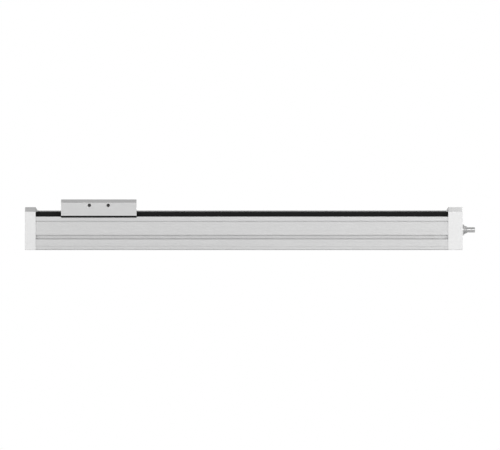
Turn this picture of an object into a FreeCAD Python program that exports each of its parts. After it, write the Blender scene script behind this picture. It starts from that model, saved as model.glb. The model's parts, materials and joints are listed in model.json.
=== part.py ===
import FreeCAD, Part
import math
import os

# Ball screw linear axis. X runs along the axis with the drive end at +X, -Y is the front and Z is up.
# The origin is the middle of the underside of the profile. All sizes are in millimetres.

# Profile
PROFILE_LENGTH = 770.0
PROFILE_WIDTH = 80.0
PROFILE_HEIGHT = 62.2
FLOOR_THICKNESS = 12.0
WALL_THICKNESS = 11.5
RIM_THICKNESS = 6.5
RIM_HEIGHT = 12.2
EDGE_CHAMFER = 1.0
SLOT_WIDTH = 8.0
SLOT_LIP = 2.0
SLOT_INNER_WIDTH = 14.0
SLOT_INNER_DEPTH = 4.3
SIDE_SLOT_Z = 24.0
BOTTOM_SLOT_Y = 20.0
GROOVE_BELOW_TOP = 8.9
GROOVE_WIDTH = 1.5
GROOVE_DEPTH = 2.5
MARK_Z = 6.5
MARK_SIZE = 0.2

# End caps and their screws
CAP_HEIGHT = 80.0
CAP_OVERHANG = 2.0
CAP_BEVEL = 8.6
CAP_EDGE_ROUND = 1.5
IDLE_CAP_LENGTH = 20.0
DRIVE_CAP_LENGTH = 27.0
CAP_SCREW = 5.0
CAP_SCREW_LENGTH = 28.0
CAP_SCREW_SINK = 6.0
CAP_SCREW_INSET = 7.0
CAP_SCREW_LOW_Z = 8.5
CAP_SCREW_HIGH_Z = 42.0
MOTOR_SCREW = 6.0
MOTOR_SPACING = 50.0
MOTOR_HOLE_DEPTH = 12.0

# Cover, its clamps and the sealing strips beside it
COVER_HEIGHT = 11.4
COVER_CROWN = 2.4
COVER_WALL = 2.5
COVER_ROUND = 1.5
COVER_SEAT = 3.0
CLAMP_REACH = 3.7
CLAMP_HEIGHT = 6.2
CLAMP_TOP = 0.3
STRIP_THICKNESS = 1.0
STRIP_HEIGHT = 6.0
STRIP_FOOT_HEIGHT = 3.0
STRIP_FOOT_DEPTH = 1.5

# Guide rails and runner blocks
RAIL_WIDTH = 9.0
RAIL_HEIGHT = 6.5
RAIL_INSET = 11.0
RAIL_RACE_DEPTH = 1.0
RAIL_RACE_HEIGHT = 2.4
RAIL_SEAT = 1.0
RAIL_END_GAP = 1.0
RUNNER_WIDTH = 20.0
RUNNER_HEIGHT = 10.0
RUNNER_LIFT = 1.5
RUNNER_LENGTH = 24.0
RUNNER_END_LENGTH = 4.0
RUNNER_SCREW = 4.0
RUNNER_SCREW_GRIP = 2.5
RUNNER_SCREW_SPACING = 14.0

# Carriage
TABLE_LENGTH = 141.0
TABLE_OVERHANG = 2.0
TABLE_THICKNESS = 19.2
TABLE_BEVEL = 6.2
TABLE_EDGE_ROUND = 0.8
SKIRT_THICKNESS = 4.0
SKIRT_GAP = 1.8
LIP_THICKNESS = 1.4
LIP_HEIGHT = 3.6
LIP_BEVEL = 0.5
LIP_ROOT_THICKNESS = 0.8
LIP_ROOT_HEIGHT = 2.0
COVER_HEADROOM = 1.6
TABLE_SCREW = 4.0
TABLE_SCREW_LENGTH = 16.0
TABLE_SCREW_SINK = 12.0
TABLE_SCREW_PITCH = 80.0
TABLE_SCREW_COUNT = 2
TOP_HOLE = 6.0
TOP_HOLE_DEPTH = 14.0
TOP_SPACING_X = 100.0
TOP_SPACING_Y = 40.0
SIDE_HOLE = 8.0
SIDE_HOLE_DEPTH = 16.0
SIDE_HOLE_SPACING = 35.2
SIDE_HOLE_BELOW_TOP = 11.1
SADDLE_IDLE_SETBACK = 8.5
SADDLE_DRIVE_SETBACK = 16.5
SADDLE_TOP_GAP = 1.7
WEB_THICKNESS = 6.0
FOOT_GAP = 0.5
WIPER_LENGTH = 3.0

# Ball screw and nut
SCREW_Z = 37.6
SCREW_RADIUS = 8.0
NUT_RADIUS = 13.0
NUT_LENGTH = 50.0
NUT_FLANGE_RADIUS = 21.0
NUT_FLANGE_LENGTH = 8.0
NUT_FLANGE_FLATS = 31.0
NUT_SCREW = 4.0
NUT_SCREW_LENGTH = 16.0
NUT_SCREW_CIRCLE = 17.0
NUT_SCREW_ANGLE = 47.0
NUT_WIPER_RADIUS = 10.5
NUT_WIPER_LENGTH = 4.0
JOURNAL_RADIUS = 6.0
SHAFT_RADIUS = 5.0
SHAFT_LENGTH = 22.8
SHAFT_CHAMFER = 0.8

# Bearings, drive end then idle end
DRIVE_BEARING_RADIUS = 16.0
DRIVE_BEARING_LENGTH = 10.0
DRIVE_BEARING_COUNT = 2
CLAMP_RING_RADIUS = 18.0
CLAMP_RING_LENGTH = 4.0
CLAMP_RING_BORE = 12.0
LOCK_NUT_RADIUS = 10.35
LOCK_NUT_PROUD = 2.5
SEAL_RADIUS = 14.0
SEAL_LENGTH = 2.0
COLLAR_RADIUS = 8.0
COLLAR_LENGTH = 5.6
COLLAR_SEAT_RISE = 0.5
COLLAR_LIP = 0.3
IDLE_BEARING_RADIUS = 14.0
IDLE_BEARING_LENGTH = 8.0
IDLE_BEARING_INSET = 1.0
IDLE_BORE_DEPTH = 14.0
PLUG_RADIUS = 9.0
CIRCLIP_THICKNESS = 1.1
CIRCLIP_RISE = 2.2
CIRCLIP_SINK = 0.6
JOURNAL_TAIL = 3.0
RING_THICKNESS_SHARE = 0.3
CAGE_INSET = 1.0

# Buffers
BUFFER_RADIUS = 5.0
BUFFER_Y = 21.5
BUFFER_BELOW_TOP = 9.2

# Socket screws, as shares of the thread size
CORE_SHARE = 0.42
PASSAGE_SHARE = 0.55
HEAD_SHARE = 0.75
HEAD_EXTRA = 0.5
SOCKET_CORNER_SHARE = 0.46
SOCKET_FLOOR_SHARE = 0.45

# Travel: where the table stands, and what is left beyond it at each end of the stroke
CARRIAGE_START = 47.4
END_RESERVE = 14.4

# Clearances
RUN_FIT = 0.05
SEAT_FIT = 0.02
SLIDE_GAP = 0.3
CAGE_GAP = 0.1
WALL_GAP = 0.5
COVER_SIDE_GAP = 1.0
STOP_GAP = 0.5

# Places worked out from the sizes above
IDLE_FACE = -PROFILE_LENGTH / 2
DRIVE_FACE = PROFILE_LENGTH / 2
IDLE_END = IDLE_FACE - IDLE_CAP_LENGTH
DRIVE_END = DRIVE_FACE + DRIVE_CAP_LENGTH
HALF_WIDTH = PROFILE_WIDTH / 2
CHANNEL_HALF = HALF_WIDTH - WALL_THICKNESS
RIM_HALF = HALF_WIDTH - RIM_THICKNESS
LEDGE_Z = PROFILE_HEIGHT - RIM_HEIGHT
CAP_HALF = HALF_WIDTH + CAP_OVERHANG
CAP_SCREW_Y = HALF_WIDTH - CAP_SCREW_INSET
RAIL_Y = CHANNEL_HALF - RAIL_INSET
WEB_OUTSIDE = RIM_HALF - STRIP_THICKNESS - WALL_GAP
WEB_INSIDE = WEB_OUTSIDE - WEB_THICKNESS
COVER_HALF = WEB_INSIDE - COVER_SIDE_GAP
COVER_TOP = PROFILE_HEIGHT + COVER_HEIGHT
COVER_LENGTH = PROFILE_LENGTH + 2 * COVER_SEAT
TABLE_UNDERSIDE = COVER_TOP + COVER_HEADROOM
TABLE_TOP = TABLE_UNDERSIDE + TABLE_THICKNESS
TABLE_HALF = HALF_WIDTH + TABLE_OVERHANG
SKIRT_Z = PROFILE_HEIGHT + SKIRT_GAP
SKIRT_INSIDE = TABLE_HALF - SKIRT_THICKNESS
SADDLE_TOP = PROFILE_HEIGHT - SADDLE_TOP_GAP
RAIL_TOP = FLOOR_THICKNESS + RAIL_HEIGHT
SADDLE_UNDERSIDE = FLOOR_THICKNESS + RUNNER_HEIGHT
SADDLE_HALF = CHANNEL_HALF - WALL_GAP
FOOT_OUTSIDE = SKIRT_INSIDE - FOOT_GAP
CARRIAGE_X = IDLE_FACE + CARRIAGE_START + TABLE_LENGTH / 2
TABLE_X = (CARRIAGE_X - TABLE_LENGTH / 2, CARRIAGE_X + TABLE_LENGTH / 2)
SADDLE_X = (TABLE_X[0] + SADDLE_IDLE_SETBACK, TABLE_X[1] - SADDLE_DRIVE_SETBACK)
SADDLE_MIDDLE = (SADDLE_X[0] + SADDLE_X[1]) / 2
RUNNER_REACH = (SADDLE_X[1] - SADDLE_X[0] - RUNNER_LENGTH) / 2 - RUNNER_END_LENGTH
IDLE_TRAVEL = CARRIAGE_START - END_RESERVE
DRIVE_TRAVEL = PROFILE_LENGTH - CARRIAGE_START - TABLE_LENGTH - END_RESERVE
SCREW_SHOULDER = DRIVE_FACE + CLAMP_RING_LENGTH
BEARING_STACK_END = SCREW_SHOULDER + DRIVE_BEARING_COUNT * DRIVE_BEARING_LENGTH
IDLE_SHOULDER = IDLE_FACE - IDLE_BEARING_INSET
IDLE_BEARING_END = IDLE_SHOULDER - IDLE_BEARING_LENGTH
LOCK_NUT_END = DRIVE_END + LOCK_NUT_PROUD
CAP_SCREW_LEVELS = (CAP_SCREW_LOW_Z, CAP_SCREW_HIGH_Z)
CAP_SCREW_PLACES = [(side * CAP_SCREW_Y, z) for side in (-1, 1) for z in CAP_SCREW_LEVELS]
X_AXIS = FreeCAD.Vector(1, 0, 0)
Y_AXIS = FreeCAD.Vector(0, 1, 0)
Z_AXIS = FreeCAD.Vector(0, 0, 1)


# Basic forms

def box(x, y, z):
    """A box between pairs of limits."""
    return Part.makeBox(x[1] - x[0], y[1] - y[0], z[1] - z[0], FreeCAD.Vector(x[0], y[0], z[0]))


def rod_x(x, radius, y=0.0, z=SCREW_Z):
    """A round bar along X, on the screw axis unless told otherwise."""
    return Part.makeCylinder(radius, x[1] - x[0], FreeCAD.Vector(x[0], y, z), X_AXIS)


def ring_x(x, inner, outer):
    """A plain ring round the screw axis."""
    return rod_x(x, outer).cut(rod_x(x, inner))


def prism_x(x, outline):
    """A (y, z) outline drawn out along X."""
    points = [FreeCAD.Vector(x[0], y, z) for y, z in outline]
    face = Part.Face(Part.makePolygon(points + points[:1]))
    return face.extrude(FreeCAD.Vector(x[1] - x[0], 0, 0))


def mirrored_outline(half):
    """Close a right-hand (y, z) half outline with its mirror image."""
    return half + [(-y, z) for y, z in reversed(half)]


def mirror_y(shape):
    return shape.mirror(FreeCAD.Vector(0, 0, 0), Y_AXIS)


def x_edges(shape, y, z):
    """The edges along X that pass through a (y, z) point on either side of the middle."""
    found = []
    for edge in shape.Edges:
        ends = [vertex.Point for vertex in edge.Vertexes]
        if all(abs(abs(p.y) - y) < SEAT_FIT and abs(p.z - z) < SEAT_FIT for p in ends):
            found.append(edge)
    return found


def end_edges(shape, x, above):
    """The edges of the end face at x that reach above a height."""
    found = []
    for edge in shape.Edges:
        ends = [vertex.Point for vertex in edge.Vertexes]
        if all(abs(p.x - x) < SEAT_FIT for p in ends) and max(p.z for p in ends) > above + SEAT_FIT:
            found.append(edge)
    return found


# Screws and their holes

def core_radius(size):
    return CORE_SHARE * size


def head_radius(size):
    return HEAD_SHARE * size + HEAD_EXTRA


def socket_screw(seat, axis, size, length):
    """A socket head screw: its head stands on the seat along the axis, its shank runs the other way."""
    corner = SOCKET_CORNER_SHARE * size
    floor = SOCKET_FLOOR_SHARE * size
    points = []
    for step in range(6):
        turn = math.radians(60 * step)
        points.append(FreeCAD.Vector(corner * math.cos(turn), corner * math.sin(turn), floor))
    socket = Part.Face(Part.makePolygon(points + points[:1])).extrude(FreeCAD.Vector(0, 0, size))
    head = Part.makeCylinder(head_radius(size), size).cut(socket)
    shank = Part.makeCylinder(core_radius(size) - SEAT_FIT, length, FreeCAD.Vector(0, 0, -length))
    screw = head.fuse(shank).removeSplitter()
    screw.Placement = FreeCAD.Placement(seat, FreeCAD.Rotation(Z_AXIS, axis))
    return screw


def clearance_hole(mouth, axis, size, depth):
    """A plain hole that a screw's shank passes through."""
    return Part.makeCylinder(PASSAGE_SHARE * size, depth, mouth, axis)


def screw_passage(seat, axis, size, sink, reach):
    """The counterbore above a screw's seat and the clearance hole below it."""
    counterbore = Part.makeCylinder(head_radius(size) + SLIDE_GAP, sink, seat, axis)
    return counterbore.fuse(clearance_hole(seat, axis * -1, size, reach))


def tapped_hole(mouth, axis, size, depth):
    """A tapped hole at its core size, into the piece along the axis."""
    return Part.makeCylinder(core_radius(size), depth, mouth, axis)


# Profile, caps and cover

def t_slot_outline(centre):
    """Right-angled outline of a T-slot: across it, then inward from the face."""
    half = SLOT_WIDTH / 2
    inner = SLOT_INNER_WIDTH / 2
    bottom = SLOT_LIP + SLOT_INNER_DEPTH
    near = [(centre - half, 0), (centre - half, SLOT_LIP)]
    far = [(centre - inner, SLOT_LIP), (centre - inner, bottom)]
    return near + far + [(2 * centre - across, inward) for across, inward in reversed(near + far)]


def profile_outline():
    """Right half of the section, from the middle of the underside round to the middle of the floor."""
    side_slot = [(HALF_WIDTH - inward, across) for across, inward in t_slot_outline(SIDE_SLOT_Z)]
    mark = [(HALF_WIDTH, MARK_Z - MARK_SIZE), (HALF_WIDTH - MARK_SIZE, MARK_Z),
            (HALF_WIDTH, MARK_Z + MARK_SIZE)]
    groove_low = PROFILE_HEIGHT - GROOVE_BELOW_TOP - GROOVE_WIDTH / 2
    groove_high = groove_low + GROOVE_WIDTH
    groove_floor = HALF_WIDTH - GROOVE_DEPTH
    groove = [(HALF_WIDTH, groove_low), (groove_floor, groove_low), (groove_floor, groove_high),
              (HALF_WIDTH, groove_high)]
    strip_low, strip_high = strip_foot_z()
    strip_floor = RIM_HALF + STRIP_FOOT_DEPTH
    rim = [(HALF_WIDTH, PROFILE_HEIGHT), (RIM_HALF, PROFILE_HEIGHT), (RIM_HALF, strip_high),
           (strip_floor, strip_high), (strip_floor, strip_low), (RIM_HALF, strip_low), (RIM_HALF, LEDGE_Z)]
    channel = [(CHANNEL_HALF, LEDGE_Z), (CHANNEL_HALF, FLOOR_THICKNESS)]
    corner = [(HALF_WIDTH - EDGE_CHAMFER, 0), (HALF_WIDTH, EDGE_CHAMFER)]
    seat_half = RAIL_WIDTH / 2 + SEAT_FIT
    seat_floor = FLOOR_THICKNESS - RAIL_SEAT
    rail_seat = [(RAIL_Y + seat_half, FLOOR_THICKNESS), (RAIL_Y + seat_half, seat_floor),
                 (RAIL_Y - seat_half, seat_floor), (RAIL_Y - seat_half, FLOOR_THICKNESS)]
    return t_slot_outline(BOTTOM_SLOT_Y) + corner + mark + side_slot + groove + rim + channel + rail_seat


def base_profile():
    length = (IDLE_FACE, DRIVE_FACE)
    profile = prism_x(length, mirrored_outline(profile_outline()))
    holes = []
    for y, z in CAP_SCREW_PLACES:
        idle_depth = CAP_SCREW_LENGTH - IDLE_CAP_LENGTH + CAP_SCREW_SINK + WALL_GAP
        drive_depth = CAP_SCREW_LENGTH - DRIVE_CAP_LENGTH + CAP_SCREW_SINK + WALL_GAP
        holes.append(tapped_hole(FreeCAD.Vector(IDLE_FACE, y, z), X_AXIS, CAP_SCREW, idle_depth))
        holes.append(tapped_hole(FreeCAD.Vector(DRIVE_FACE, y, z), X_AXIS * -1, CAP_SCREW, drive_depth))
    return profile.cut(Part.makeCompound(holes))


def cap_blank(x, outer_face):
    """A block a little wider than the profile, with bevelled long edges and a rounded outer face."""
    half = [(CAP_HALF - EDGE_CHAMFER, 0), (CAP_HALF, EDGE_CHAMFER), (CAP_HALF, CAP_HEIGHT - CAP_BEVEL),
            (CAP_HALF - CAP_BEVEL, CAP_HEIGHT)]
    blank = prism_x(x, mirrored_outline(half))
    return blank.makeFillet(CAP_EDGE_ROUND, end_edges(blank, outer_face, EDGE_CHAMFER))


def cap_screw_seats(outer_face, outward):
    """Seats of the four cap screws, sunk below the outer face."""
    x = outer_face - outward.x * CAP_SCREW_SINK
    return [FreeCAD.Vector(x, y, z) for y, z in CAP_SCREW_PLACES]


def cap_cuts(face, outer_face, outward):
    """What both caps have in common: the screw holes and the cover's seat."""
    cuts = [screw_passage(seat, outward, CAP_SCREW, CAP_SCREW_SINK, abs(outer_face - face))
            for seat in cap_screw_seats(outer_face, outward)]
    cuts.append(cover_blank(COVER_HALF + SEAT_FIT, COVER_TOP + SEAT_FIT))
    return cuts


def idle_end_cap():
    """Cap with the floating bearing's bore and an opening for the plug behind it."""
    cuts = cap_cuts(IDLE_FACE, IDLE_END, X_AXIS * -1)
    cuts.append(rod_x((IDLE_FACE - IDLE_BORE_DEPTH, IDLE_FACE), IDLE_BEARING_RADIUS + SEAT_FIT))
    cuts.append(rod_x((IDLE_END, IDLE_FACE), PLUG_RADIUS + SEAT_FIT))
    return cap_blank((IDLE_END, IDLE_FACE), IDLE_END).cut(Part.makeCompound(cuts))


def drive_end_cap():
    """Cap with the fixed bearing pair's bore, the seal's recess and tapped holes for a motor flange."""
    cuts = cap_cuts(DRIVE_FACE, DRIVE_END, X_AXIS)
    cuts.append(rod_x((DRIVE_FACE, SCREW_SHOULDER), CLAMP_RING_RADIUS + SEAT_FIT))
    cuts.append(rod_x((DRIVE_FACE, BEARING_STACK_END), DRIVE_BEARING_RADIUS + SEAT_FIT))
    cuts.append(rod_x((BEARING_STACK_END, BEARING_STACK_END + SEAL_LENGTH), SEAL_RADIUS + SEAT_FIT))
    cuts.append(rod_x((DRIVE_FACE, DRIVE_END), LOCK_NUT_RADIUS + WALL_GAP))
    for y in (-MOTOR_SPACING / 2, MOTOR_SPACING / 2):
        for rise in (-MOTOR_SPACING / 2, MOTOR_SPACING / 2):
            mouth = FreeCAD.Vector(DRIVE_END, y, SCREW_Z + rise)
            cuts.append(tapped_hole(mouth, X_AXIS * -1, MOTOR_SCREW, MOTOR_HOLE_DEPTH))
    return cap_blank((DRIVE_FACE, DRIVE_END), DRIVE_END).cut(Part.makeCompound(cuts))


def cap_screws(outer_face, outward):
    seats = cap_screw_seats(outer_face, outward)
    return [socket_screw(seat, outward, CAP_SCREW, CAP_SCREW_LENGTH) for seat in seats]


def cover_section(half, top):
    """Section of the cover's outside or inside at its idle end: straight sides under a low crown."""
    start = IDLE_FACE - COVER_SEAT
    shoulder = top - COVER_CROWN
    outline = ((half, PROFILE_HEIGHT), (half, shoulder), (-half, shoulder), (-half, PROFILE_HEIGHT))
    corners = [FreeCAD.Vector(start, y, z) for y, z in outline]
    crown = Part.Arc(corners[1], FreeCAD.Vector(start, 0, top), corners[2]).toShape()
    straight = [Part.makeLine(corners[3], corners[0]), Part.makeLine(corners[0], corners[1])]
    return Part.Face(Part.Wire(straight + [crown, Part.makeLine(corners[2], corners[3])]))


def cover_blank(half, top):
    """Outer form of the cover, as long as its seats in the two caps."""
    blank = cover_section(half, top).extrude(X_AXIS * COVER_LENGTH)
    return blank.makeFillet(COVER_ROUND, x_edges(blank, half, top - COVER_CROWN))


def cover_profile():
    """Shallow upturned channel with one wall thickness."""
    hollow = cover_section(COVER_HALF - COVER_WALL, COVER_TOP - COVER_WALL).extrude(X_AXIS * COVER_LENGTH)
    return cover_blank(COVER_HALF, COVER_TOP).cut(hollow)


def cover_clamp(face, inward):
    """Sloped hood in the corner between the end of the cover and its cap."""
    inside = COVER_HALF - COVER_ROUND
    low = COVER_TOP - COVER_CROWN
    tip = COVER_TOP + CLAMP_TOP
    high = COVER_TOP + CLAMP_HEIGHT
    outline = [(0, low), (CLAMP_REACH, low), (CLAMP_REACH, tip), (CLAMP_TOP, high), (0, high)]
    points = [FreeCAD.Vector(face + inward.x * reach, -inside, z) for reach, z in outline]
    hood = Part.Face(Part.makePolygon(points + points[:1])).extrude(FreeCAD.Vector(0, 2 * inside, 0))
    return hood.cut(cover_blank(COVER_HALF + SEAT_FIT, COVER_TOP + SEAT_FIT))


def strip_foot_z():
    """Limits in height of the slot that holds a sealing strip."""
    middle = PROFILE_HEIGHT - STRIP_HEIGHT / 2
    return middle - STRIP_FOOT_HEIGHT / 2, middle + STRIP_FOOT_HEIGHT / 2


def seal_strip():
    """Rear sealing strip: a lip along the inside of the rim, on a foot in the rim's slot."""
    x = (IDLE_FACE, DRIVE_FACE)
    low, high = strip_foot_z()
    lip = box(x, (RIM_HALF - STRIP_THICKNESS, RIM_HALF), (PROFILE_HEIGHT - STRIP_HEIGHT, PROFILE_HEIGHT))
    foot_end = RIM_HALF + STRIP_FOOT_DEPTH - SEAT_FIT
    foot = box(x, (RIM_HALF - STRIP_THICKNESS, foot_end), (low + SEAT_FIT, high - SEAT_FIT))
    return lip.fuse(foot).removeSplitter()


# Guide

def rail_outline(gap):
    """Right half of a rail's section about its own middle, widened by a gap for the runner blocks."""
    half = RAIL_WIDTH / 2 + gap
    race = half - RAIL_RACE_DEPTH
    top = RAIL_TOP + gap
    middle = RAIL_TOP - RAIL_RACE_HEIGHT
    reach = RAIL_RACE_HEIGHT / 2
    foot = FLOOR_THICKNESS - RAIL_SEAT
    return [(half, foot), (half, middle - reach), (race, middle), (half, middle + reach), (half, top)]


def rail(side):
    """A rail pressed into its seat in the floor of the profile."""
    outline = [(side * RAIL_Y + y, z) for y, z in mirrored_outline(rail_outline(0))]
    return prism_x((IDLE_FACE + RAIL_END_GAP, DRIVE_FACE - RAIL_END_GAP), outline)


def runner_places():
    """Middle of each runner block along X, with its side."""
    return [(SADDLE_MIDDLE + end * RUNNER_REACH, side) for end in (-1, 1) for side in (-1, 1)]


def runner_section(x, side, gap):
    """A length of runner block: a saddle over the rail, with the rail's own form cut out of it."""
    half = RUNNER_WIDTH / 2
    y = (side * RAIL_Y - half, side * RAIL_Y + half)
    block = box(x, y, (FLOOR_THICKNESS + RUNNER_LIFT, SADDLE_UNDERSIDE))
    outline = [(side * RAIL_Y + across, z) for across, z in mirrored_outline(rail_outline(gap))]
    return block.cut(prism_x(x, outline))


def runner_block(x, side):
    block = runner_section((x - RUNNER_LENGTH / 2, x + RUNNER_LENGTH / 2), side, SLIDE_GAP)
    mouths = runner_screw_mouths(x, side)
    holes = [tapped_hole(mouth, Z_AXIS * -1, RUNNER_SCREW, RUNNER_HEIGHT) for mouth in mouths]
    return block.cut(Part.makeCompound(holes))


def runner_end_caps(x, side):
    """The two end caps of a runner block, a little lower than the block itself."""
    caps = []
    for end in (-1, 1):
        near = x + end * RUNNER_LENGTH / 2
        far = near + end * RUNNER_END_LENGTH
        x_span = (min(near, far), max(near, far))
        top = box(x_span, (-HALF_WIDTH, HALF_WIDTH), (SADDLE_UNDERSIDE - SLIDE_GAP, SADDLE_UNDERSIDE))
        caps.append(runner_section(x_span, side, SLIDE_GAP).cut(top))
    return caps


def runner_screw_mouths(x, side):
    half = RUNNER_SCREW_SPACING / 2
    return [FreeCAD.Vector(x + step, side * RAIL_Y, SADDLE_UNDERSIDE) for step in (-half, half)]


def runner_seats():
    """Seats of the runner screws on top of the saddle."""
    rise = Z_AXIS * (SADDLE_TOP - SADDLE_UNDERSIDE)
    return [mouth + rise for x, side in runner_places() for mouth in runner_screw_mouths(x, side)]


def runner_screws():
    length = SADDLE_TOP - SADDLE_UNDERSIDE + RUNNER_SCREW_GRIP
    return [socket_screw(seat, Z_AXIS, RUNNER_SCREW, length) for seat in runner_seats()]


# Carriage

def saddle_outline():
    """Right half of the saddle: body between the walls, web up past the cover and foot under the table."""
    shelf = LEDGE_Z + WALL_GAP
    body = [(SADDLE_HALF, SADDLE_UNDERSIDE), (SADDLE_HALF, shelf)]
    web = [(WEB_OUTSIDE, shelf), (WEB_OUTSIDE, SKIRT_Z)]
    foot = [(FOOT_OUTSIDE, SKIRT_Z), (FOOT_OUTSIDE, TABLE_UNDERSIDE)]
    return body + web + foot + [(WEB_INSIDE, TABLE_UNDERSIDE), (WEB_INSIDE, SADDLE_TOP)]


def carriage_saddle():
    saddle = prism_x(SADDLE_X, mirrored_outline(saddle_outline()))
    cuts = [rod_x(SADDLE_X, NUT_RADIUS + SEAT_FIT)]
    for seat in runner_seats():
        cuts.append(clearance_hole(seat, Z_AXIS * -1, RUNNER_SCREW, SADDLE_TOP - SADDLE_UNDERSIDE))
    for mouth in nut_screw_mouths(SADDLE_X[1]):
        depth = NUT_SCREW_LENGTH - NUT_FLANGE_LENGTH + WALL_GAP
        cuts.append(tapped_hole(mouth, X_AXIS * -1, NUT_SCREW, depth))
    for seat in table_seats():
        mouth = FreeCAD.Vector(seat.x, seat.y, TABLE_UNDERSIDE)
        depth = TABLE_SCREW_LENGTH - (seat.z - TABLE_UNDERSIDE) + WALL_GAP
        cuts.append(tapped_hole(mouth, Z_AXIS * -1, TABLE_SCREW, depth))
    return saddle.cut(Part.makeCompound(cuts))


def table_seats():
    """Seats of the table screws, above the middle of the two webs."""
    across = (WEB_INSIDE + WEB_OUTSIDE) / 2
    first = SADDLE_MIDDLE - TABLE_SCREW_PITCH * (TABLE_SCREW_COUNT - 1) / 2
    places = [first + TABLE_SCREW_PITCH * step for step in range(TABLE_SCREW_COUNT)]
    z = TABLE_TOP - TABLE_SCREW_SINK
    return [FreeCAD.Vector(x, side * across, z) for x in places for side in (-1, 1)]


def table_screws():
    return [socket_screw(seat, Z_AXIS, TABLE_SCREW, TABLE_SCREW_LENGTH) for seat in table_seats()]


def lip_root(fit):
    """Outline of a lip's root in the rear skirt, or with a fit of the slot round that root."""
    near = HALF_WIDTH + SLIDE_GAP - fit
    far = HALF_WIDTH + SLIDE_GAP + LIP_ROOT_THICKNESS + fit
    top = SKIRT_Z + LIP_ROOT_HEIGHT + fit
    return [(near, SKIRT_Z), (near, top), (far, top), (far, SKIRT_Z)]


def table_lip():
    """Rear sealing lip: a root in the slot of the skirt, and a lip down past the edge of the profile."""
    inside = HALF_WIDTH + SLIDE_GAP
    outside = inside + LIP_THICKNESS
    low = SKIRT_Z - LIP_HEIGHT
    lip = [(outside, SKIRT_Z), (outside, low), (inside + LIP_BEVEL, low), (inside, low + LIP_BEVEL)]
    return prism_x(TABLE_X, lip_root(0) + lip)


def carriage_table():
    """Table with two skirts, bevelled long edges and tapped holes on top and in its front."""
    skirt = [(SKIRT_INSIDE, TABLE_UNDERSIDE), (SKIRT_INSIDE, SKIRT_Z)] + lip_root(SEAT_FIT)
    side = [(TABLE_HALF, SKIRT_Z), (TABLE_HALF, TABLE_TOP - TABLE_BEVEL),
            (TABLE_HALF - TABLE_BEVEL, TABLE_TOP)]
    half = skirt + side
    table = prism_x(TABLE_X, mirrored_outline(half))
    edges = end_edges(table, TABLE_X[0], TABLE_UNDERSIDE) + end_edges(table, TABLE_X[1], TABLE_UNDERSIDE)
    table = table.makeFillet(TABLE_EDGE_ROUND, edges)
    cuts = []
    for seat in table_seats():
        cuts.append(screw_passage(seat, Z_AXIS, TABLE_SCREW, TABLE_SCREW_SINK, TABLE_SCREW_LENGTH))
    for across in (-TOP_SPACING_X / 2, TOP_SPACING_X / 2):
        for y in (-TOP_SPACING_Y / 2, TOP_SPACING_Y / 2):
            mouth = FreeCAD.Vector(CARRIAGE_X + across, y, TABLE_TOP)
            cuts.append(tapped_hole(mouth, Z_AXIS * -1, TOP_HOLE, TOP_HOLE_DEPTH))
    for along in (-SIDE_HOLE_SPACING / 2, SIDE_HOLE_SPACING / 2):
        mouth = FreeCAD.Vector(CARRIAGE_X + along, -TABLE_HALF, TABLE_TOP - SIDE_HOLE_BELOW_TOP)
        cuts.append(tapped_hole(mouth, Y_AXIS, SIDE_HOLE, SIDE_HOLE_DEPTH))
    return table.cut(Part.makeCompound(cuts))


def cover_wiper(end):
    """Wiper plate under one end of the table: an arch that just clears the cover."""
    edge = CARRIAGE_X + end * TABLE_LENGTH / 2
    x = (min(edge, edge - end * WIPER_LENGTH), max(edge, edge - end * WIPER_LENGTH))
    plate = box(x, (-SKIRT_INSIDE, SKIRT_INSIDE), (SKIRT_Z, TABLE_UNDERSIDE))
    return plate.cut(cover_blank(COVER_HALF + SLIDE_GAP, COVER_TOP + SLIDE_GAP))


# Screw drive

def nut_screw_mouths(face):
    places = []
    for side in (-1, 1):
        for rise in (-1, 1):
            turn = math.radians(NUT_SCREW_ANGLE)
            y = side * NUT_SCREW_CIRCLE * math.cos(turn)
            z = SCREW_Z + rise * NUT_SCREW_CIRCLE * math.sin(turn)
            places.append(FreeCAD.Vector(face, y, z))
    return places


def ball_nut():
    """Round nut with a flange that has two flats, bolted to the drive end of the saddle."""
    face = SADDLE_X[1]
    outer = face + NUT_FLANGE_LENGTH
    body = rod_x((outer - NUT_LENGTH, face), NUT_RADIUS)
    across = (-NUT_FLANGE_FLATS / 2, NUT_FLANGE_FLATS / 2)
    height = (SCREW_Z - NUT_FLANGE_RADIUS, SCREW_Z + NUT_FLANGE_RADIUS)
    flange = rod_x((face, outer), NUT_FLANGE_RADIUS).common(box((face, outer), across, height))
    cuts = [rod_x((outer - NUT_LENGTH, outer), SCREW_RADIUS + RUN_FIT)]
    for x in nut_wiper_spans():
        cuts.append(rod_x(x, NUT_WIPER_RADIUS + SEAT_FIT))
    for mouth in nut_screw_mouths(face):
        cuts.append(clearance_hole(mouth, X_AXIS, NUT_SCREW, NUT_FLANGE_LENGTH))
    return body.fuse(flange).cut(Part.makeCompound(cuts))


def nut_wiper_spans():
    """Limits along X of the wipers in the two ends of the nut."""
    outer = SADDLE_X[1] + NUT_FLANGE_LENGTH
    inner = outer - NUT_LENGTH
    return [(inner, inner + NUT_WIPER_LENGTH), (outer - NUT_WIPER_LENGTH, outer)]


def nut_wipers():
    return [ring_x(x, SCREW_RADIUS + RUN_FIT, NUT_WIPER_RADIUS) for x in nut_wiper_spans()]


def nut_screws():
    seats = nut_screw_mouths(SADDLE_X[1] + NUT_FLANGE_LENGTH)
    return [socket_screw(seat, X_AXIS, NUT_SCREW, NUT_SCREW_LENGTH) for seat in seats]


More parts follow.
